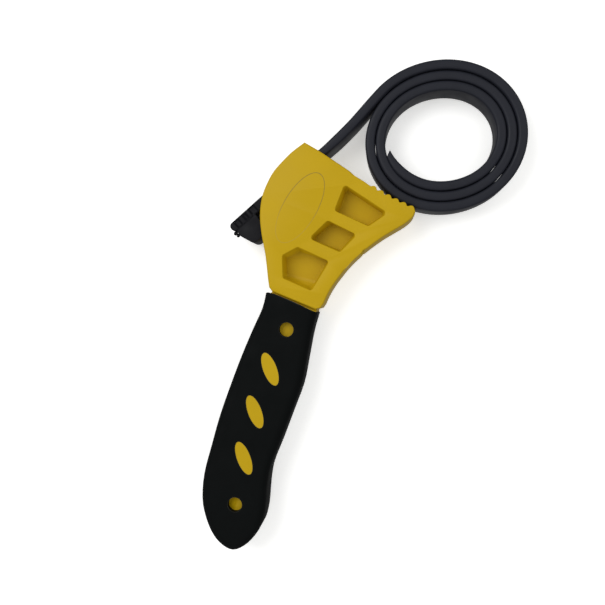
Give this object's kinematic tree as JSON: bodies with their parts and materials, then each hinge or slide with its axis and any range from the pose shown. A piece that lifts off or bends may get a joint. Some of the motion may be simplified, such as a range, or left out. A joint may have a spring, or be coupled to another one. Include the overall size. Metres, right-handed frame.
{
  "type": "rubber strap oil filter wrench",
  "caption": "Hand strap wrench with a toothed plastic head, a rubber covered handle and a long rubber strap that coils and pulls through the head.",
  "frame": {"origin": "on the plane of the back face, under the middle of the strap's thickness, 21 mm behind the mouth", "axes": "+X along the strap, out of the mouth; +Z out of the front face; +Y away from the toothed jaw"},
  "size_m": [0.2871, 0.1593, 0.026],
  "materials": {
    "yellow_plastic": "satin moulded",
    "grip_rubber": "matt",
    "strap_rubber": "satin"
  },
  "bodies": {
    "wrench": {"wrench_body": "yellow_plastic", "grip_sleeve": "grip_rubber"},
    "strap_heel": {"strap_heel": "strap_rubber"},
    "strap_link_01": {"strap_link_01": "strap_rubber"},
    "strap_link_02": {"strap_link_02": "strap_rubber"},
    "strap_link_03": {"strap_link_03": "strap_rubber"},
    "strap_link_04": {"strap_link_04": "strap_rubber"},
    "strap_link_05": {"strap_link_05": "strap_rubber"},
    "strap_link_06": {"strap_link_06": "strap_rubber"},
    "strap_link_07": {"strap_link_07": "strap_rubber"},
    "strap_link_08": {"strap_link_08": "strap_rubber"},
    "strap_link_09": {"strap_link_09": "strap_rubber"},
    "strap_link_10": {"strap_link_10": "strap_rubber"},
    "strap_link_11": {"strap_link_11": "strap_rubber"},
    "strap_link_12": {"strap_link_12": "strap_rubber"},
    "strap_link_13": {"strap_link_13": "strap_rubber"},
    "strap_link_14": {"strap_link_14": "strap_rubber"},
    "strap_link_15": {"strap_link_15": "strap_rubber"},
    "strap_link_16": {"strap_link_16": "strap_rubber"},
    "strap_link_17": {"strap_link_17": "strap_rubber"},
    "strap_link_18": {"strap_link_18": "strap_rubber"},
    "strap_link_19": {"strap_link_19": "strap_rubber"},
    "strap_link_20": {"strap_link_20": "strap_rubber"},
    "strap_link_21": {"strap_link_21": "strap_rubber"},
    "strap_link_22": {"strap_link_22": "strap_rubber"},
    "strap_link_23": {"strap_link_23": "strap_rubber"},
    "strap_link_24": {"strap_link_24": "strap_rubber"},
    "strap_link_25": {"strap_link_25": "strap_rubber"},
    "strap_link_26": {"strap_link_26": "strap_rubber"},
    "strap_link_27": {"strap_link_27": "strap_rubber"},
    "strap_link_28": {"strap_link_28": "strap_rubber"},
    "strap_link_29": {"strap_link_29": "strap_rubber"}
  },
  "joints": [
    {"name": "strap_slide", "type": "slide", "parent": "wrench", "child": "strap_heel", "axis": [1, 0, 0], "range_m": [0, 0.008]},
    {"name": "strap_bend_01", "type": "hinge", "parent": "strap_heel", "child": "strap_link_01", "pos_m": [0.024, 0, 0.013], "axis": [0, 0, 1], "range_deg": [0, 40]},
    {"name": "strap_bend_02", "type": "hinge", "parent": "strap_link_01", "child": "strap_link_02", "pos_m": [0.044, 0.0018, 0.013], "axis": [0, 0, 1], "range_deg": [0, 40]},
    {"name": "strap_bend_03", "type": "hinge", "parent": "strap_link_02", "child": "strap_link_03", "pos_m": [0.0719, 0.00643, 0.013], "axis": [0, 0, 1], "range_deg": [0, 22.09]},
    {"name": "strap_bend_04", "type": "hinge", "parent": "strap_link_03", "child": "strap_link_04", "pos_m": [0.09868, 0.00041, 0.013], "axis": [0, 0, 1], "range_deg": [0, 31.52]},
    {"name": "strap_bend_05", "type": "hinge", "parent": "strap_link_04", "child": "strap_link_05", "pos_m": [0.11805, -0.01841, 0.013], "axis": [0, 0, 1], "range_deg": [0, 36.38]},
    {"name": "strap_bend_06", "type": "hinge", "parent": "strap_link_05", "child": "strap_link_06", "pos_m": [0.12262, -0.04596, 0.013], "axis": [0, 0, 1], "range_deg": [0, 43.16]},
    {"name": "strap_bend_07", "type": "hinge", "parent": "strap_link_06", "child": "strap_link_07", "pos_m": [0.10701, -0.06935, 0.013], "axis": [0, 0, 1], "range_deg": [0, 42.19]},
    {"name": "strap_bend_08", "type": "hinge", "parent": "strap_link_07", "child": "strap_link_08", "pos_m": [0.08091, -0.0759, 0.013], "axis": [0, 0, 1], "range_deg": [0, 34.52]},
    {"name": "strap_bend_09", "type": "hinge", "parent": "strap_link_08", "child": "strap_link_09", "pos_m": [0.05722, -0.06708, 0.013], "axis": [0, 0, 1], "range_deg": [0, 31.36]},
    {"name": "strap_bend_10", "type": "hinge", "parent": "strap_link_09", "child": "strap_link_10", "pos_m": [0.04157, -0.04719, 0.013], "axis": [0, 0, 1], "range_deg": [0, 38.34]},
    {"name": "strap_bend_11", "type": "hinge", "parent": "strap_link_10", "child": "strap_link_11", "pos_m": [0.04163, -0.02098, 0.013], "axis": [0, 0, 1], "range_deg": [0, 44.21]},
    {"name": "strap_bend_12", "type": "hinge", "parent": "strap_link_11", "child": "strap_link_12", "pos_m": [0.05986, -0.00232, 0.013], "axis": [0, 0, 1], "range_deg": [0, 40.94]},
    {"name": "strap_bend_13", "type": "hinge", "parent": "strap_link_12", "child": "strap_link_13", "pos_m": [0.0844, -0.0003, 0.013], "axis": [0, 0, 1], "range_deg": [0, 32.49]},
    {"name": "strap_bend_14", "type": "hinge", "parent": "strap_link_13", "child": "strap_link_14", "pos_m": [0.10494, -0.01113, 0.013], "axis": [0, 0, 1], "range_deg": [0, 31.91]},
    {"name": "strap_bend_15", "type": "hinge", "parent": "strap_link_14", "child": "strap_link_15", "pos_m": [0.11688, -0.03155, 0.013], "axis": [0, 0, 1], "range_deg": [0, 40.51]},
    {"name": "strap_bend_16", "type": "hinge", "parent": "strap_link_15", "child": "strap_link_16", "pos_m": [0.11256, -0.0556, 0.013], "axis": [0, 0, 1], "range_deg": [0, 44.83]},
    {"name": "strap_bend_17", "type": "hinge", "parent": "strap_link_16", "child": "strap_link_17", "pos_m": [0.09291, -0.06934, 0.013], "axis": [0, 0, 1], "range_deg": [0, 39.15]},
    {"name": "strap_bend_18", "type": "hinge", "parent": "strap_link_17", "child": "strap_link_18", "pos_m": [0.07064, -0.06771, 0.013], "axis": [0, 0, 1], "range_deg": [0, 30.63]},
    {"name": "strap_bend_19", "type": "hinge", "parent": "strap_link_18", "child": "strap_link_19", "pos_m": [0.05317, -0.05556, 0.013], "axis": [0, 0, 1], "range_deg": [0, 33.22]},
    {"name": "strap_bend_20", "type": "hinge", "parent": "strap_link_19", "child": "strap_link_20", "pos_m": [0.04493, -0.03513, 0.013], "axis": [0, 0, 1], "range_deg": [0, 42.72]},
    {"name": "strap_bend_21", "type": "hinge", "parent": "strap_link_20", "child": "strap_link_21", "pos_m": [0.05293, -0.01402, 0.013], "axis": [0, 0, 1], "range_deg": [0, 44.9]},
    {"name": "strap_bend_22", "type": "hinge", "parent": "strap_link_21", "child": "strap_link_22", "pos_m": [0.07279, -0.00503, 0.013], "axis": [0, 0, 1], "range_deg": [0, 36.83]},
    {"name": "strap_bend_23", "type": "hinge", "parent": "strap_link_22", "child": "strap_link_23", "pos_m": [0.09237, -0.00937, 0.013], "axis": [0, 0, 1], "range_deg": [0, 29.2]},
    {"name": "strap_bend_24", "type": "hinge", "parent": "strap_link_23", "child": "strap_link_24", "pos_m": [0.10691, -0.02231, 0.013], "axis": [0, 0, 1], "range_deg": [0, 35.25]},
    {"name": "strap_bend_25", "type": "hinge", "parent": "strap_link_24", "child": "strap_link_25", "pos_m": [0.11152, -0.04217, 0.013], "axis": [0, 0, 1], "range_deg": [0, 44.82]},
    {"name": "strap_bend_26", "type": "hinge", "parent": "strap_link_25", "child": "strap_link_26", "pos_m": [0.10066, -0.05973, 0.013], "axis": [0, 0, 1], "range_deg": [0, 44.34]},
    {"name": "strap_bend_27", "type": "hinge", "parent": "strap_link_26", "child": "strap_link_27", "pos_m": [0.08167, -0.06443, 0.013], "axis": [0, 0, 1], "range_deg": [0, 34.03]},
    {"name": "strap_bend_28", "type": "hinge", "parent": "strap_link_27", "child": "strap_link_28", "pos_m": [0.0649, -0.05829, 0.013], "axis": [0, 0, 1], "range_deg": [0, 28.46]},
    {"name": "strap_bend_29", "type": "hinge", "parent": "strap_link_28", "child": "strap_link_29", "pos_m": [0.05315, -0.04497, 0.013], "axis": [0, 0, 1], "range_deg": [0, 37.92]}
  ],
  "couplings": [
    {"joint": "strap_bend_02", "follows": "strap_bend_01", "ratio": 1},
    {"joint": "strap_bend_03", "follows": "strap_bend_01", "ratio": 0.55225},
    {"joint": "strap_bend_04", "follows": "strap_bend_01", "ratio": 0.788},
    {"joint": "strap_bend_05", "follows": "strap_bend_01", "ratio": 0.9095},
    {"joint": "strap_bend_06", "follows": "strap_bend_01", "ratio": 1.079},
    {"joint": "strap_bend_07", "follows": "strap_bend_01", "ratio": 1.0548},
    {"joint": "strap_bend_08", "follows": "strap_bend_01", "ratio": 0.863},
    {"joint": "strap_bend_09", "follows": "strap_bend_01", "ratio": 0.784},
    {"joint": "strap_bend_10", "follows": "strap_bend_01", "ratio": 0.9585},
    {"joint": "strap_bend_11", "follows": "strap_bend_01", "ratio": 1.1053},
    {"joint": "strap_bend_12", "follows": "strap_bend_01", "ratio": 1.0235},
    {"joint": "strap_bend_13", "follows": "strap_bend_01", "ratio": 0.81225},
    {"joint": "strap_bend_14", "follows": "strap_bend_01", "ratio": 0.79775},
    {"joint": "strap_bend_15", "follows": "strap_bend_01", "ratio": 1.0128},
    {"joint": "strap_bend_16", "follows": "strap_bend_01", "ratio": 1.1207},
    {"joint": "strap_bend_17", "follows": "strap_bend_01", "ratio": 0.97875},
    {"joint": "strap_bend_18", "follows": "strap_bend_01", "ratio": 0.76575},
    {"joint": "strap_bend_19", "follows": "strap_bend_01", "ratio": 0.8305},
    {"joint": "strap_bend_20", "follows": "strap_bend_01", "ratio": 1.068},
    {"joint": "strap_bend_21", "follows": "strap_bend_01", "ratio": 1.1225},
    {"joint": "strap_bend_22", "follows": "strap_bend_01", "ratio": 0.92075},
    {"joint": "strap_bend_23", "follows": "strap_bend_01", "ratio": 0.73},
    {"joint": "strap_bend_24", "follows": "strap_bend_01", "ratio": 0.88125},
    {"joint": "strap_bend_25", "follows": "strap_bend_01", "ratio": 1.1205},
    {"joint": "strap_bend_26", "follows": "strap_bend_01", "ratio": 1.1085},
    {"joint": "strap_bend_27", "follows": "strap_bend_01", "ratio": 0.85075},
    {"joint": "strap_bend_28", "follows": "strap_bend_01", "ratio": 0.7115},
    {"joint": "strap_bend_29", "follows": "strap_bend_01", "ratio": 0.948}
  ]
}
